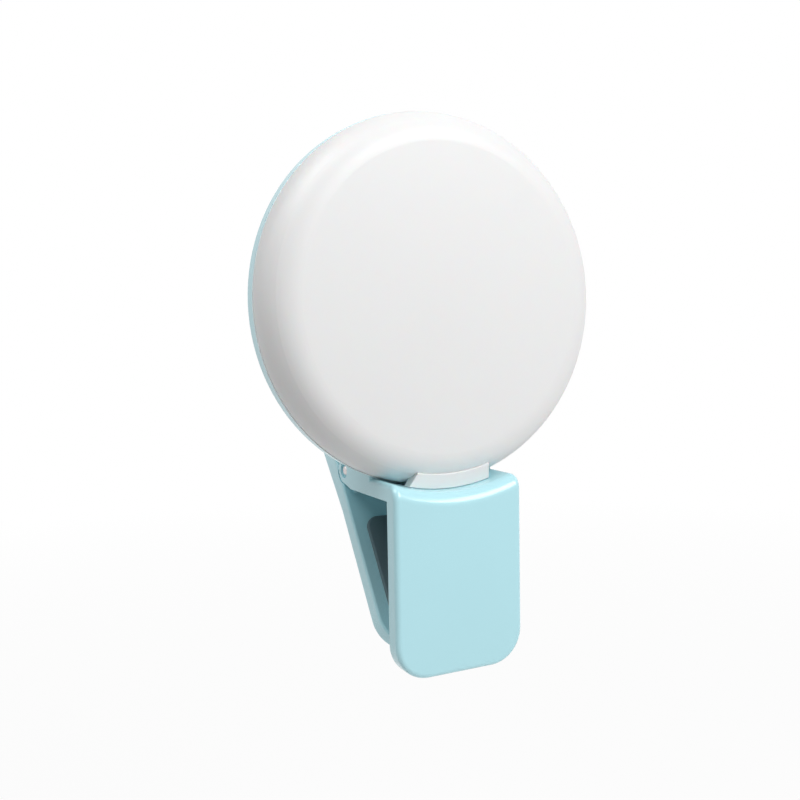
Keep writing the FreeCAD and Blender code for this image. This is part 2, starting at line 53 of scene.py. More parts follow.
import bmesh
import bpy
import numpy as np
from bpy.props import FloatProperty, FloatVectorProperty, PointerProperty
from bpy.types import Operator, Panel, PropertyGroup
from mathutils import Matrix, Vector

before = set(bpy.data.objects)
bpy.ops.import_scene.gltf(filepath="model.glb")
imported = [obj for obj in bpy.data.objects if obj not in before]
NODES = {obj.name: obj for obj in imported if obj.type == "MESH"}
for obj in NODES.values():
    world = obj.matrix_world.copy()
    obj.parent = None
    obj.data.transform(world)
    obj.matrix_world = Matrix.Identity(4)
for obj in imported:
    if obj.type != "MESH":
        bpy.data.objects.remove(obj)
CAD_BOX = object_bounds()
MM = 0.001


# Finishes: a socket that does arithmetic, and a material that makes its own nodes


class Reading:
    """A shader socket that can be added, subtracted and multiplied like a number."""

    def __init__(self, finish, socket):
        self.finish = finish
        self.socket = socket

    def _with(self, operation, first, second):
        return self.finish.node("ShaderNodeMath", {"operation": operation}, {0: first, 1: second})

    def __add__(self, other):
        return self._with("ADD", self, other)

    def __radd__(self, other):
        return self._with("ADD", other, self)

    def __sub__(self, other):
        return self._with("SUBTRACT", self, other)

    def __rsub__(self, other):
        return self._with("SUBTRACT", other, self)

    def __mul__(self, other):
        return self._with("MULTIPLY", self, other)

    def __rmul__(self, other):
        return self._with("MULTIPLY", other, self)


class Finish:
    """A material with one Principled shader, whose nodes come from one method."""

    def __init__(self, name):
        self.material = bpy.data.materials.new(name)
        self.material.use_nodes = True
        self.tree = self.material.node_tree
        self.shader = self.tree.nodes["Principled BSDF"]
        self.place = None

    def node(self, kind, settings=None, inputs=None, output=0):
        """Make a node: its settings first, then a value or a link for each named socket."""
        made = self.tree.nodes.new(kind)
        for name, value in (settings or {}).items():
            setattr(made, name, value)
        for key, value in (inputs or {}).items():
            self.feed(made.inputs[key], value)
        return Reading(self, made.outputs[output])

    def feed(self, socket, value):
        if isinstance(value, Reading):
            self.tree.links.new(value.socket, socket)
        else:
            socket.default_value = value

    def object_place(self):
        """Object coordinates in metres, shared by every pattern of this finish."""
        if self.place is None:
            self.place = self.node("ShaderNodeTexCoord", output="Object")
        return self.place

    def noise(self, size, detail=2.0, roughness=0.5):
        """Cloudy pattern whose blots are about size metres wide."""
        inputs = {"Vector": self.object_place(), "Scale": 1 / size, "Detail": detail, "Roughness": roughness}
        return self.node("ShaderNodeTexNoise", None, inputs)

    def blend_colours(self, factor, first, second):
        inputs = {"Factor": factor, 6: (*first, 1), 7: (*second, 1)}
        return self.node("ShaderNodeMix", {"data_type": "RGBA"}, inputs, output=2)

    def bump(self, height, depth):
        """Surface relief of the given depth in metres."""
        inputs = {"Height": height, "Distance": depth, "Strength": 1.0}
        return self.node("ShaderNodeBump", None, inputs)

    def set(self, **sockets):
        """Set or link the shader's sockets, named with underscores for spaces."""
        for name, value in sockets.items():
            self.feed(self.shader.inputs[name.replace("_", " ")], value)
        return self.material


def shade(colour, factor):
    """Colour made darker or lighter by a factor."""
    return tuple(min(1.0, channel * factor) for channel in colour)


# Widths and depths of the finishes' grain, in metres
PIGMENT_CLOUD = 35 * MM
PEEL_GRAIN = 0.3 * MM
PEEL_DEPTH = 0.004 * MM
COVER_CLOUD = 50 * MM
COVER_GRAIN = 0.4 * MM
COVER_DEPTH = 0.003 * MM
COVER_SKIN = 2 * MM
RUBBER_CLOUD = 9 * MM
STIPPLE_GRAIN = 0.35 * MM
STIPPLE_DEPTH = 0.03 * MM
DRAWING_DEPTH = 0.004 * MM
TRACK_DEPTH = 0.03 * MM
PHOSPHOR_GRAIN = 0.2 * MM
PHOSPHOR_DEPTH = 0.008 * MM
ROD_HAZE = 0.6 * MM

# How far the pigment drifts, how the steel's lines are stretched and how dense the patterns are
PIGMENT_DRIFT = 0.03
DRAWING_STRETCH = (1, 50, 50)
DRAWING_SCALE = 60.0
TRACK_SCALE = 420.0
TRACK_EDGE = 0.06


def moulded_plastic(name, colour, gloss, coat=0.0):
    """Injection-moulded plastic: faint drift of its pigment, uneven gloss and a fine orange peel."""
    finish = Finish(name)
    clouds = finish.noise(PIGMENT_CLOUD)
    fine = finish.noise(PEEL_GRAIN, detail=3.0)
    tint = finish.blend_colours(clouds, shade(colour, 1 - PIGMENT_DRIFT), shade(colour, 1 + PIGMENT_DRIFT))
    roughness = gloss + (fine - 0.5) * 0.06 + (clouds - 0.5) * 0.04
    return finish.set(Base_Color=tint, Roughness=roughness, Coat_Weight=coat, Coat_Roughness=0.08,
                      Normal=finish.bump(fine, PEEL_DEPTH))


def milky_cover(name, colour, gloss):
    """Diffuser plastic: near-white, satin, with a faint cloudiness and soft light under its skin."""
    finish = Finish(name)
    clouds = finish.noise(COVER_CLOUD)
    fine = finish.noise(COVER_GRAIN, detail=3.0)
    tint = finish.blend_colours(clouds, shade(colour, 0.985), shade(colour, 1.01))
    roughness = gloss + (fine - 0.5) * 0.05
    return finish.set(Base_Color=tint, Roughness=roughness, Subsurface_Weight=0.12,
                      Subsurface_Scale=COVER_SKIN, Normal=finish.bump(fine, COVER_DEPTH))


def soft_rubber(name, colour):
    """Dull rubber with a fine stipple, a little lighter where the stipple stands up."""
    finish = Finish(name)
    stipple = finish.noise(STIPPLE_GRAIN, detail=4.0, roughness=0.6)
    clouds = finish.noise(RUBBER_CLOUD)
    tint = finish.blend_colours(stipple * 0.6 + clouds * 0.4, shade(colour, 0.85), shade(colour, 1.2))
    roughness = 0.72 + (stipple - 0.5) * 0.2
    return finish.set(Base_Color=tint, Roughness=roughness, Specular_IOR_Level=0.35,
                      Normal=finish.bump(stipple, STIPPLE_DEPTH))


def drawn_steel(name, colour, gloss):
    """Plated steel with fine drawing lines that run along the pin."""
    finish = Finish(name)
    stretched = finish.node("ShaderNodeMapping", {"vector_type": "POINT"},
                            {"Vector": finish.object_place(), "Scale": DRAWING_STRETCH})
    lines = finish.node("ShaderNodeTexNoise", None,
                        {"Vector": stretched, "Scale": DRAWING_SCALE, "Detail": 3.0})
    tint = finish.blend_colours(lines, shade(colour, 0.85), shade(colour, 1.1))
    roughness = gloss + (lines - 0.5) * 0.15
    return finish.set(Base_Color=tint, Roughness=roughness, Metallic=1.0,
                      Normal=finish.bump(lines, DRAWING_DEPTH))


def circuit_board(name, colour):
    """Solder mask over faint copper tracks."""
    finish = Finish(name)
    tracks = finish.node("ShaderNodeTexVoronoi", {"feature": "DISTANCE_TO_EDGE"},
                         {"Vector": finish.object_place(), "Scale": TRACK_SCALE})
    edge = finish.node("ShaderNodeMath", {"operation": "LESS_THAN"}, {0: tracks, 1: TRACK_EDGE})
    tint = finish.blend_colours(edge, colour, shade(colour, 1.25))
    return finish.set(Base_Color=tint, Roughness=0.38 - edge * 0.08, Normal=finish.bump(edge, TRACK_DEPTH))


def lamp_phosphor(name, colour):
    """Yellow phosphor of an unlit lamp in its pale case."""
    finish = Finish(name)
    speck = finish.noise(PHOSPHOR_GRAIN, detail=3.0)
    tint = finish.blend_colours(speck, shade(colour, 0.9), shade(colour, 1.08))
    return finish.set(Base_Color=tint, Roughness=0.3 + speck * 0.1,
                      Normal=finish.bump(speck, PHOSPHOR_DEPTH))


def clear_rod(name):
    """Clear plastic rod, faintly hazy."""
    finish = Finish(name)
    haze = finish.noise(ROD_HAZE)
    return finish.set(Base_Color=finish.blend_colours(haze, (0.8, 0.88, 0.9), (0.9, 0.95, 0.96)),
                      Roughness=0.1 + haze * 0.1, Coat_Weight=0.5)


# Surfaces


def rounded_outline(width, length, corner, inset, count):
    """Points round a rectangle with round corners, moved inward by inset.

    Each point is the corner circle's centre in its own quarter plus the remaining corner radius
    in the direction of the angle, so the straight sides lie between the four arcs.
    """
    angle = np.linspace(0, 2 * np.pi, count, endpoint=False) + np.pi / count
    centre_x = (width / 2 - corner) * np.sign(np.cos(angle))
    centre_z = (length / 2 - corner) * np.sign(np.sin(angle))
    radius = corner - inset
    return np.stack([centre_x + radius * np.cos(angle), centre_z + radius * np.sin(angle)], axis=1)


def ring_faces(rings, count, closed=False):
    """Quads between neighbouring rings of a grid, each ring being closed on itself."""
    steps = rings if closed else rings - 1
    ring, spot = np.meshgrid(np.arange(steps), np.arange(count), indexing="ij")
    after = (ring + 1) % rings
    beside = (spot + 1) % count
    corners = [ring * count + spot, ring * count + beside, after * count + beside, after * count + spot]
    return np.stack(corners, axis=-1).reshape(-1, 4)


def mesh_object(name, points, faces, material):
    """Object at the origin from an array of points and a list of faces."""
    mesh = bpy.data.meshes.new(name)
    mesh.from_pydata(points.tolist(), [], faces)
    mesh.materials.append(material)
    mesh.update()
    made = bpy.data.objects.new(name, mesh)
    bpy.context.collection.objects.link(made)
    return made


def solid_object(name, points, quads, caps, material, smooth_caps=True):
    """Closed piece of smooth quads and the caps that close it, with every face turned outwards."""
    made = mesh_object(name, points, quads.tolist() + caps, material)
    smooth = np.full(len(made.data.polygons), True)
    smooth[len(quads):] = smooth_caps
    made.data.polygons.foreach_set("use_smooth", smooth)
    work = bmesh.new()
    work.from_mesh(made.data)
    bmesh.ops.recalc_face_normals(work, faces=work.faces)
    work.to_mesh(made.data)
    work.free()
    made.data.update()
    return made


def end_caps(rings, count):
    """One face over the first ring of a grid and one over its last."""
    return [list(range(count))[::-1], list(range((rings - 1) * count, rings * count))]


def lathe(name, profile, centre, material, count=360):
    """Closed ring about the disc's axis.

    Point (i, j) = centre + radius_i * (cos a_j, 0, sin a_j) + depth_i along Y, where a_j goes once round.
    """
    angle = np.linspace(0, 2 * np.pi, count, endpoint=False)
    radius = profile[:, 0][:, None]
    depth = np.broadcast_to(profile[:, 1][:, None], (len(profile), count))
    across = radius * np.cos(angle) + centre[0]
    upward = radius * np.sin(angle) + centre[1]
    points = np.stack([across, depth, upward], axis=-1).reshape(-1, 3)
    return solid_object(name, points, ring_faces(len(profile), count, closed=True), [], material)


def curved_block(name, outline, centre, first, last, material, steps=60):
    """Block whose closed section is carried round the disc's axis, with a slanted cap at each end.

    Point (i, j) = centre + radius_j * (sin a, 0, -cos a) + depth_j along Y, where the angle a from straight
    down goes evenly from first_j to last_j, so each point of the section has its own two ends.
    """
    part_way = np.linspace(0, 1, steps)[:, None]
    angle = first + (last - first) * part_way
    radius = outline[:, 0]
    depth = np.broadcast_to(outline[:, 1], angle.shape)
    across = centre[0] + radius * np.sin(angle)
    upward = centre[1] - radius * np.cos(angle)
    points = np.stack([across, depth, upward], axis=-1).reshape(-1, 3)
    count = len(outline)
    return solid_object(name, points, ring_faces(steps, count), end_caps(steps, count), material,
                        smooth_caps=False)


# How close, as a share of the edge's rounding, a point stands beside each round corner of the foot
CORNER_SUPPORT = 0.2


def foot_profile(sizes):
    """Section of the cover's foot in radius and depth, and the angle of each point's two ends.

    Front corners are quarter circles, with a point close beside each so that the flats shade flat. The left
    end's reach goes evenly from its low value to its high value with the radius.
    """
    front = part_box("diffuser_dome")[0][1]
    bottom = sizes.foot_radius
    top = bottom - sizes.foot_height
    low_front = front + sizes.foot_low_step
    high_front = front + sizes.foot_high_step
    back = low_front + sizes.foot_depth
    edge = sizes.foot_edge
    turn = np.linspace(0, np.pi / 2, 5)
    support = edge * CORNER_SUPPORT
    outline = np.array([
        (bottom, back),
        (bottom, low_front + edge + support),
        *np.column_stack([bottom - edge + edge * np.cos(turn), low_front + edge - edge * np.sin(turn)]),
        (bottom - edge - support, low_front),
        (top + edge + support, high_front),
        *np.column_stack([top + edge - edge * np.sin(turn), high_front + edge - edge * np.cos(turn)]),
        (top, high_front + edge + support),
        (top, back),
    ])
    share = (outline[:, 0] - top) / (bottom - top)
    left = sizes.foot_left_high + (sizes.foot_left_low - sizes.foot_left_high) * share
    return outline, -np.arcsin(left / outline[:, 0]), np.arcsin(sizes.foot_right / outline[:, 0])


# Size of a pad's innermost ring as a share of its face
POLE_SHARE = 0.02


def pad_points(width, length, corner, thick, edge, crown, count=96):
    """Crowned pad, flat at its back: rings up its wall, round its edge and over its face.

    Wall and edge ring k has the outline moved in by edge * (1 - cos t) at height thick - edge * (1 - sin t);
    a face ring is the outline shrunk to s times its size, at height thick + crown * (1 - s * s).
    """
    turn = np.linspace(0, np.pi / 2, 8)
    insets = edge * (1 - np.cos(turn))
    heights = thick - edge * (1 - np.sin(turn))
    rings = [np.column_stack([rounded_outline(width, length, corner, 0, count), np.zeros(count)])]
    for inset, height in zip(insets, heights):
        flat = rounded_outline(width, length, corner, inset, count)
        rings.append(np.column_stack([flat, np.full(count, height)]))
    face = rounded_outline(width, length, corner, edge, count)
    for share in np.linspace(1, POLE_SHARE, 14)[1:]:
        rings.append(np.column_stack([face * share, np.full(count, thick + crown * (1 - share * share))]))
    return np.concatenate(rings), len(rings), count


def pad_object(name, origin, directions, size, material):
    """Pad whose width, length and thickness run along three directions; a face closes its back and pole."""
    local, rings, count = pad_points(*size)
    points = np.array(origin) + local @ np.array(directions)
    return solid_object(name, points, ring_faces(rings, count), end_caps(rings, count), material)


def wire_object(name, path, beside, radius, material, sides=20):
    """Round wire along a path of points, closed at both ends.

    Point (i, j) = path_i + radius * (cos a_j * beside_i + sin a_j * along_i x beside_i), where along is the
    path's direction and beside is the given sideways direction made square to it.
    """
    along = np.gradient(path, axis=0)
    along /= np.linalg.norm(along, axis=1, keepdims=True)
    beside = beside - np.sum(beside * along, axis=1, keepdims=True) * along
    beside /= np.linalg.norm(beside, axis=1, keepdims=True)
    above = np.cross(along, beside)
    angle = np.linspace(0, 2 * np.pi, sides, endpoint=False)
    ring = (np.cos(angle)[None, :, None] * beside[:, None, :]
            + np.sin(angle)[None, :, None] * above[:, None, :])
    points = (path[:, None, :] + radius * ring).reshape(-1, 3)
    rings = len(path)
    return solid_object(name, points, ring_faces(rings, sides), end_caps(rings, sides), material)


# Points of the spring's path: for each radian of a turn, and along a straight leg
TURN_POINTS = 9
LEG_POINTS = 24


def spring_path(pin, radius, leg, start_turn, sweep, x_from, x_to):
    """Path of a straight leg that runs onto a coil round the pin, and its outward directions.

    On the coil a point is the pin plus radius * (0, cos t, sin t) at x between its ends, with t going evenly
    from start_turn over sweep. The leg ends at the coil's start and lies square to its radius there.
    """
    turn = start_turn + np.linspace(0, sweep, int(abs(sweep) * TURN_POINTS))
    outward = np.stack([np.zeros_like(turn), np.cos(turn), np.sin(turn)], axis=1)
    coil = np.array(pin) + radius * outward
    coil[:, 0] = pin[0] + np.linspace(x_from, x_to, len(turn))
    forward = np.sign(sweep) * np.array((0, -math.sin(start_turn), math.cos(start_turn)))
    reach = np.linspace(leg, 0, LEG_POINTS, endpoint=False)[:, None]
    straight = coil[0] - reach * forward
    beside = np.concatenate([np.repeat(outward[:1], LEG_POINTS, axis=0), outward])
    return np.concatenate([straight, coil]), beside


# Sizes and colours that a user would change


class RingLightSizes(PropertyGroup):
    cover_depth: FloatProperty(name="Cover depth", description="From the cover's front to the housing's rim",
                               default=8.8 * MM, unit="LENGTH")
    # The bead round the cover's rim is a real seam; its pale colour is a painted highlight along the rim's
    # edge.
    seam_width: FloatProperty(name="Seam width", description="Width of the pale bead round the cover's rim",
                              default=0.4 * MM, unit="LENGTH")
    seam_rise: FloatProperty(name="Seam depth", description="Half the depth of the bead's round section",
                             default=0.1 * MM, unit="LENGTH")
    foot_radius: FloatProperty(name="Foot radius", description="From the disc's axis to the foot's underside",
                               default=42.73 * MM, unit="LENGTH")
    foot_height: FloatProperty(name="Foot height", description="Height of the foot's front face",
                               default=3.5 * MM, unit="LENGTH")
    foot_low_step: FloatProperty(name="Foot low step", description="From the cover's face to its low edge",
                                 default=1.5 * MM, unit="LENGTH")
    foot_high_step: FloatProperty(name="Foot high step", description="From the cover's face to its high edge",
                                  default=1.3 * MM, unit="LENGTH")
    foot_depth: FloatProperty(name="Foot depth", description="From the foot's face back into the cover",
                              default=2.5 * MM, unit="LENGTH")
    foot_edge: FloatProperty(name="Foot edge", description="Rounding of the foot's front edges",
                             default=0.3 * MM, unit="LENGTH")
    foot_left_low: FloatProperty(name="Foot left, low", description="Left reach of the foot at its low edge",
                                 default=9.8 * MM, unit="LENGTH")
    foot_left_high: FloatProperty(name="Foot left, high", description="Left reach at the foot's high edge",
                                  default=7.6 * MM, unit="LENGTH")
    foot_right: FloatProperty(name="Foot right", description="Right reach of the foot",
                              default=11.05 * MM, unit="LENGTH")
    pad_edge: FloatProperty(name="Pad edge", description="Rounding of the rubber pads' edges",
                            default=0.5 * MM, unit="LENGTH")
    pad_crown: FloatProperty(name="Pad crown", description="How far a pad's face swells in its middle",
                             default=0.0 * MM, unit="LENGTH")
    pad_corner: FloatProperty(name="Pad corner", description="Corner radius of the rubber pads",
                              default=3.0 * MM, unit="LENGTH")
    lever_lean: FloatProperty(name="Lever lean", description="Lean of the closed lever from upright",
                              default=math.radians(34.45), unit="ROTATION")
    rear_pad_width: FloatProperty(name="Rear pad width", description="Width of the pad on the lever",
                                  default=26.0 * MM, unit="LENGTH")
    rear_pad_length: FloatProperty(name="Rear pad length", description="Length of the pad down the lever",
                                   default=26.4 * MM, unit="LENGTH")
    rear_pad_thickness: FloatProperty(name="Rear pad thickness", description="Thickness with its pocket",
                                      default=1.3 * MM, unit="LENGTH")
    rear_pad_below: FloatProperty(name="Rear pad below pin", description="From the pin to the pad's middle",
                                  default=24.8 * MM, unit="LENGTH")
    rear_pad_back: FloatProperty(name="Rear pad back", description="From the pin's line to the pad's back",
                                 default=3.3 * MM, unit="LENGTH")
    wire_radius: FloatProperty(name="Wire radius", description="Half the thickness of the spring's wire",
                               default=0.4 * MM, unit="LENGTH")
    coil_radius: FloatProperty(name="Coil radius", description="From the pin's axis to the wire's middle",
                               default=2.2 * MM, unit="LENGTH")
    coil_length: FloatProperty(name="Coil length", description="Length of the fixed turns along the pin",
                               default=5.7 * MM, unit="LENGTH")
    coil_turns: FloatProperty(name="Coil turns", description="Number of fixed turns", default=6.0)
    last_turn_place: FloatProperty(name="Last turn", description="Place of the lever's turn along the pin",
                                   default=3.77 * MM, unit="LENGTH")
    last_turn_sweep: FloatProperty(name="Last turn sweep", description="How far round the lever's turn goes",
                                   default=math.radians(342), unit="ROTATION")
    spring_leg: FloatProperty(name="Spring leg", description="Length of each straight leg of the spring",
                              default=8.5 * MM, unit="LENGTH")
    fixed_leg_lean: FloatProperty(name="Fixed leg lean", description="Lean of the leg that rests on the neck",
                                  default=math.radians(5.82), unit="ROTATION")


class RingLightColours(PropertyGroup):
    housing: FloatVectorProperty(name="Housing", description="Pale blue of the mouldings", subtype="COLOR",
                                 default=(0.47, 0.79, 0.86), min=0, max=1)
    cover: FloatVectorProperty(name="Cover", description="Milky white of the cover", subtype="COLOR",
                               default=(0.81, 0.81, 0.81), min=0, max=1)
    # The pads' colour is dark rubber and partly painted shade: its blue-grey is the housing's blue darkened
    # as the shade inside the jaw darkens it.
    rubber: FloatVectorProperty(name="Rubber", description="Dark rubber of the pads", subtype="COLOR",
                                default=(0.12, 0.18, 0.2), min=0, max=1)
    steel: FloatVectorProperty(name="Steel", description="Plated pin and spring", subtype="COLOR",
                               default=(0.62, 0.58, 0.58), min=0, max=1)


class RingLightStudio(PropertyGroup):
    lens: FloatProperty(name="Lens", description="Focal length on a 36 mm wide sensor", default=43.32,
                        unit="CAMERA")
    key: FloatProperty(name="Key light", description="Power of the large light at the upper right",
                       default=3.2, unit="POWER")
    fill: FloatProperty(name="Fill light", description="Power of the weak soft light on the left",
                        default=0.4, unit="POWER")
    top: FloatProperty(name="Top light", description="Power of the soft light high on the left",
                       default=1.95, unit="POWER")
    ambient: FloatProperty(name="Ambient", description="Strength of the white surroundings", default=0.075)
    floor_drop: FloatProperty(name="Floor drop", description="Height of the part over the floor",
                              default=0.12, unit="LENGTH")


# Operators: one for each group of pieces and one for the stage


def coat_nodes(names, material):
    """Give carried-over pieces one material in all their slots."""
    for name in names:
        for slot in NODES[name].material_slots:
            slot.material = material


class RINGLIGHT_OT_mouldings(Operator):
    """Finish the pale blue housing and lever"""

    bl_idname = "ringlight.mouldings"
    bl_label = "Blue mouldings"

    def execute(self, context):
        colour = tuple(context.scene.ring_light_colours.housing)
        blue = moulded_plastic("blue_plastic", colour, gloss=0.26, coat=0.35)
        coat_nodes(["rear_housing", "rear_lever"], blue)
        return {"FINISHED"}


class RINGLIGHT_OT_cover(Operator):
    """Finish the milky cover, and add the pale bead round its rim, a seam whose pale colour is a painted
    highlight, and its foot in the saddle
    """

    bl_idname = "ringlight.cover"
    bl_label = "Milky cover"

    def execute(self, context):
        sizes = context.scene.ring_light_sizes
        colour = tuple(context.scene.ring_light_colours.cover)
        milky = milky_cover("milky_plastic", colour, gloss=0.42)
        coat_nodes(["diffuser_dome"], milky)
        low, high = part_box("led_board")
        centre = ((low[0] + high[0]) / 2, (low[2] + high[2]) / 2)
        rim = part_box("rear_housing")[1][0]
        lip_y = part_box("diffuser_dome")[0][1] + sizes.cover_depth
        turn = np.linspace(0, 2 * np.pi, 16, endpoint=False)
        profile = np.column_stack([
            rim - sizes.seam_rise + sizes.seam_rise * np.cos(turn),
            lip_y + sizes.seam_width / 2 * (np.sin(turn) - 0.5),
        ])
        # Painted highlight: the bead's pale colour stands in for the light caught along the cover's rim.
        pale = moulded_plastic("seam_highlight_plastic", (0.86, 0.93, 0.95), gloss=0.35)
        highlight_seam = lathe("rim_seam_highlight", profile, centre, pale)
        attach(highlight_seam, "light")
        outline, first, last = foot_profile(sizes)
        foot = curved_block("cover_foot", outline, centre, first, last, milky)
        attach(foot, "light")
        return {"FINISHED"}


class RINGLIGHT_OT_pads(Operator):
    """Make the two rubber pads with round edges and a fine stipple; their dark blue-grey is partly painted
    shade
    """

    bl_idname = "ringlight.pads"
    bl_label = "Rubber pads"

    def execute(self, context):
        sizes = context.scene.ring_light_sizes
        # Painted shade in part: the pads' dark blue-grey stands for the shade inside the jaw as well as the
        # rubber's own dark.
        rubber = soft_rubber("pad_rubber_and_shade", tuple(context.scene.ring_light_colours.rubber))
        low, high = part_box("front_pad")
        size = (high[0] - low[0], high[2] - low[2], sizes.pad_corner, high[1] - low[1], sizes.pad_edge,
                sizes.pad_crown)
        origin = (0, low[1], (low[2] + high[2]) / 2)
        front = pad_object("front_grip", origin, ((1, 0, 0), (0, 0, -1), (0, 1, 0)), size, rubber)
        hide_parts("front_pad")
        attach(front, "light")
        lean = sizes.lever_lean
        leg_up = np.array((0, math.sin(lean), math.cos(lean)))
        leg_out = np.array((0, math.cos(lean), -math.sin(lean)))
        pin = np.array(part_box("hinge_pin")).mean(axis=0)
        back = pin - sizes.rear_pad_below * leg_up + sizes.rear_pad_back * leg_out
        size = (sizes.rear_pad_width, sizes.rear_pad_length, sizes.pad_corner, sizes.rear_pad_thickness,
                sizes.pad_edge, sizes.pad_crown)
        rear = pad_object("rear_grip", back, ((1, 0, 0), leg_up, -leg_out), size, rubber)
        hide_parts("rear_pad")
        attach(rear, "lever")
        return {"FINISHED"}


class RINGLIGHT_OT_metal(Operator):
    """Finish the hinge pin, the socket and the screws"""

    bl_idname = "ringlight.metal"
    bl_label = "Metal pieces"

    def execute(self, context):
        colour = tuple(context.scene.ring_light_colours.steel)
        coat_nodes(["hinge_pin"], drawn_steel("plated_pin", colour, gloss=0.3))
        coat_nodes(["charging_socket"], drawn_steel("socket_shell", shade(colour, 1.1), gloss=0.25))
        screws = [name for name in NODES if "screw" in name]
        coat_nodes(screws, drawn_steel("screw_zinc", shade(colour, 0.95), gloss=0.35))
        return {"FINISHED"}


class RINGLIGHT_OT_spring(Operator):
    """Wind the round wire spring: fixed turns with their leg, and the lever's turn with its leg"""

    bl_idname = "ringlight.spring"
    bl_label = "Spring"

    def execute(self, context):
        sizes = context.scene.ring_light_sizes
        colour = tuple(context.scene.ring_light_colours.steel)
        steel = drawn_steel("spring_wire", shade(colour, 0.8), gloss=0.32)
        pin = np.array(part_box("hinge_pin")).mean(axis=0)
        half = sizes.coil_length / 2
        path, beside = spring_path(pin, sizes.coil_radius, sizes.spring_leg, math.pi + sizes.fixed_leg_lean,
                                   2 * math.pi * sizes.coil_turns, -half, half)
        coil = wire_object("spring_turns", path, beside, sizes.wire_radius, steel)
        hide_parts("spring_coil")
        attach(coil, "light")
        place = sizes.last_turn_place
        path, beside = spring_path(pin, sizes.coil_radius, sizes.spring_leg, -sizes.lever_lean,
                                   -sizes.last_turn_sweep, place, place)
        arm = wire_object("spring_arm", path, beside, sizes.wire_radius, steel)
        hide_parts("spring_leg")
        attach(arm, "lever")
        return {"FINISHED"}


class RINGLIGHT_OT_inside(Operator):
    """Finish the boards, lamps, reflector, battery, switch, button and light pipe"""

    bl_idname = "ringlight.inside"
    bl_label = "Electronics"

    def execute(self, context):
        lamps = [name for name in NODES if name.startswith("led_") and name != "led_board"]
        coat_nodes(lamps, lamp_phosphor("lamp_phosphor", (0.85, 0.7, 0.2)))
        coat_nodes(["led_board"], circuit_board("white_mask", (0.8, 0.8, 0.78)))
        coat_nodes(["control_board"], circuit_board("green_mask", (0.02, 0.14, 0.05)))
        coat_nodes(["reflector_ring"], moulded_plastic("reflector_white", (0.85, 0.85, 0.85), gloss=0.2))
        coat_nodes(["battery"], moulded_plastic("foil_pouch", (0.55, 0.56, 0.58), gloss=0.35))
        coat_nodes(["battery_tape"], soft_rubber("foam_tape", (0.03, 0.03, 0.03)))
        coat_nodes(["tact_switch"], moulded_plastic("switch_black", (0.02, 0.02, 0.02), gloss=0.4))
        coat_nodes(["power_button"], moulded_plastic("button_white", (0.8, 0.82, 0.83), gloss=0.3, coat=0.2))
        coat_nodes(["light_pipe"], clear_rod("clear_pipe"))
        return {"FINISHED"}


class RINGLIGHT_OT_stage(Operator):
    """Set up the camera, the lights, the pale floor and the white surroundings"""

    bl_idname = "ringlight.stage"
    bl_label = "Studio"

    def execute(self, context):
        studio = context.scene.ring_light_studio
        add_camera(studio.lens)
        add_lamp("key", KEY_PLACE, studio.key)
        add_lamp("fill", FILL_PLACE, studio.fill)
        add_lamp("top", TOP_PLACE, studio.top)
        add_floor(CAD_BOX[0].z - studio.floor_drop)
        light_world(studio.ambient)
        context.scene.view_settings.view_transform = "Standard"
        return {"FINISHED"}


# The photograph's viewpoint: the camera's place and its three axes
CAMERA_PLACE = Vector((-107.27, -188.38, 38.09)) * MM
CAMERA_RIGHT = Vector((0.8914, -0.4529, -0.0175))
CAMERA_UP = Vector((0.0496, 0.0592, 0.9970))
CAMERA_BACK = Vector((-0.4505, -0.8896, 0.0753))
SENSOR_WIDTH = 36
CLIP_NEAR = 0.01
CLIP_FAR = 20

# Places of the soft lights, the point that they face and the length of their sides, in metres
KEY_PLACE = Vector((0.2, -0.47, 0.36))
FILL_PLACE = Vector((-0.45, 0.15, 0.3))
TOP_PLACE = Vector((-0.33, -0.06, 0.6))
LAMP_TARGET = Vector((0, 0.01, 0.03))
LAMP_SIZE = 0.35

# The floor's half width and tint, and how its white veil thickens with the distance from the part
FLOOR_HALF = 4.0
FLOOR_TINT = (0.92, 0.92, 0.92, 1)
WHITE = (1, 1, 1, 1)
VEIL_RANGE = {"From Min": 0.25, "From Max": 0.9, "To Min": 0.94, "To Max": 1.0}


def add_camera(lens):
    """Camera at the photograph's viewpoint: its axes are the columns of its matrix."""
    data = bpy.data.cameras.new("camera")
    data.lens = lens
    data.sensor_width = SENSOR_WIDTH
    data.clip_start = CLIP_NEAR
    data.clip_end = CLIP_FAR
    camera = bpy.data.objects.new("camera", data)
    bpy.context.collection.objects.link(camera)
    turn = Matrix((CAMERA_RIGHT, CAMERA_UP, CAMERA_BACK)).transposed()
    camera.matrix_world = Matrix.Translation(CAMERA_PLACE) @ turn.to_4x4()
    bpy.context.scene.camera = camera


def add_lamp(name, place, power):
    """Square soft light at a place, facing the part and unseen by the camera."""
    data = bpy.data.lights.new(name, "AREA")
    data.shape = "SQUARE"
    data.size = LAMP_SIZE
    data.energy = power
    lamp = bpy.data.objects.new(name, data)
    lamp.visible_camera = False
    bpy.context.collection.objects.link(lamp)
    aim = (LAMP_TARGET - place).to_track_quat("-Z", "Y")
    lamp.matrix_world = Matrix.Translation(place) @ aim.to_matrix().to_4x4()


def background_mix(tree, behind, shown):
    """Shader that camera, glossy and transmission rays see as shown, and all other rays as behind."""
    path = tree.nodes.new("ShaderNodeLightPath")
    seen = path.outputs["Is Camera Ray"]
    for name in ("Is Glossy Ray", "Is Transmission Ray"):
        either = tree.nodes.new("ShaderNodeMath")
        either.operation = "MAXIMUM"
        tree.links.new(seen, either.inputs[0])
        tree.links.new(path.outputs[name], either.inputs[1])
        seen = either.outputs[0]
    mix = tree.nodes.new("ShaderNodeMixShader")
    tree.links.new(seen, mix.inputs[0])
    tree.links.new(behind, mix.inputs[1])
    tree.links.new(shown, mix.inputs[2])
    return mix.outputs[0]


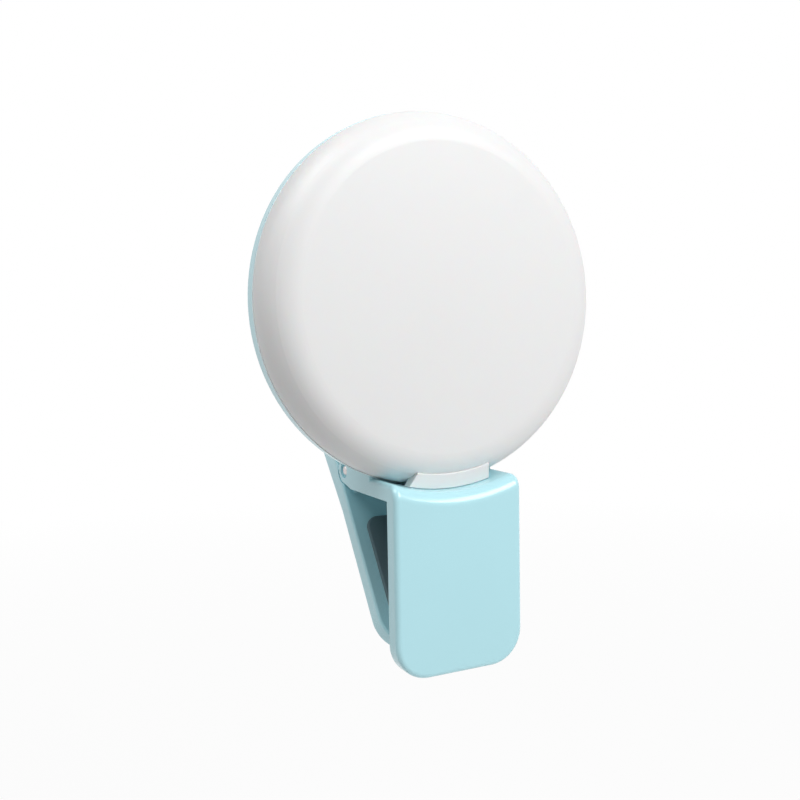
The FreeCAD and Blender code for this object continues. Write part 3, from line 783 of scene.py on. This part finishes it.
def add_floor(height):
    """Wide pale floor far below the part. It is white to the camera and keeps a faint shadow."""
    corners = FLOOR_HALF * np.array([(-1, -1), (1, -1), (1, 1), (-1, 1)])
    points = np.column_stack([corners, np.full(len(corners), height)])
    material = bpy.data.materials.new("pale_floor")
    material.use_nodes = True
    tree = material.node_tree
    tree.nodes.clear()
    diffuse = tree.nodes.new("ShaderNodeBsdfDiffuse")
    diffuse.inputs["Color"].default_value = FLOOR_TINT
    glow = tree.nodes.new("ShaderNodeEmission")
    glow.inputs["Color"].default_value = WHITE
    place = tree.nodes.new("ShaderNodeTexCoord")
    away = tree.nodes.new("ShaderNodeVectorMath")
    away.operation = "LENGTH"
    tree.links.new(place.outputs["Object"], away.inputs[0])
    fade = tree.nodes.new("ShaderNodeMapRange")
    for name, value in VEIL_RANGE.items():
        fade.inputs[name].default_value = value
    tree.links.new(away.outputs["Value"], fade.inputs["Value"])
    veil = tree.nodes.new("ShaderNodeMixShader")
    tree.links.new(fade.outputs["Result"], veil.inputs[0])
    tree.links.new(diffuse.outputs[0], veil.inputs[1])
    tree.links.new(glow.outputs[0], veil.inputs[2])
    output = tree.nodes.new("ShaderNodeOutputMaterial")
    tree.links.new(background_mix(tree, diffuse.outputs[0], veil.outputs[0]), output.inputs["Surface"])
    floor = mesh_object("floor", points, [(0, 1, 2, 3)], material)


def light_world(ambient):
    """White surroundings: even light on the part, and plain white to the camera."""
    world = bpy.data.worlds.new("studio")
    bpy.context.scene.world = world
    world.use_nodes = True
    tree = world.node_tree
    tree.nodes.clear()
    even = tree.nodes.new("ShaderNodeBackground")
    even.inputs["Color"].default_value = WHITE
    even.inputs["Strength"].default_value = ambient
    white = tree.nodes.new("ShaderNodeBackground")
    white.inputs["Color"].default_value = WHITE
    output = tree.nodes.new("ShaderNodeOutputWorld")
    tree.links.new(background_mix(tree, even.outputs[0], white.outputs[0]), output.inputs["Surface"])


OPERATORS = (
    RINGLIGHT_OT_mouldings,
    RINGLIGHT_OT_cover,
    RINGLIGHT_OT_pads,
    RINGLIGHT_OT_metal,
    RINGLIGHT_OT_spring,
    RINGLIGHT_OT_inside,
    RINGLIGHT_OT_stage,
)


class RINGLIGHT_PT_panel(Panel):
    """Lists the ring light's pieces, sizes and colours"""

    bl_idname = "RINGLIGHT_PT_panel"
    bl_label = "Ring light"
    bl_space_type = "VIEW_3D"
    bl_region_type = "UI"
    bl_category = "Ring light"

    def draw(self, context):
        for group in (context.scene.ring_light_sizes, context.scene.ring_light_colours,
                      context.scene.ring_light_studio):
            for name in group.__annotations__:
                self.layout.prop(group, name)
        for operator in OPERATORS:
            self.layout.operator(operator.bl_idname)


GROUPS = {
    "ring_light_sizes": RingLightSizes,
    "ring_light_colours": RingLightColours,
    "ring_light_studio": RingLightStudio,
}


def register():
    for name, group in GROUPS.items():
        bpy.utils.register_class(group)
        setattr(bpy.types.Scene, name, PointerProperty(type=group))
    for operator in OPERATORS:
        bpy.utils.register_class(operator)
    bpy.utils.register_class(RINGLIGHT_PT_panel)


def unregister():
    bpy.utils.unregister_class(RINGLIGHT_PT_panel)
    for operator in reversed(OPERATORS):
        bpy.utils.unregister_class(operator)
    for name, group in GROUPS.items():
        delattr(bpy.types.Scene, name)
        bpy.utils.unregister_class(group)


def main():
    register()
    bpy.ops.ringlight.mouldings()
    bpy.ops.ringlight.cover()
    bpy.ops.ringlight.pads()
    bpy.ops.ringlight.metal()
    bpy.ops.ringlight.spring()
    bpy.ops.ringlight.inside()
    bpy.ops.ringlight.stage()


if __name__ == "__main__":
    main()
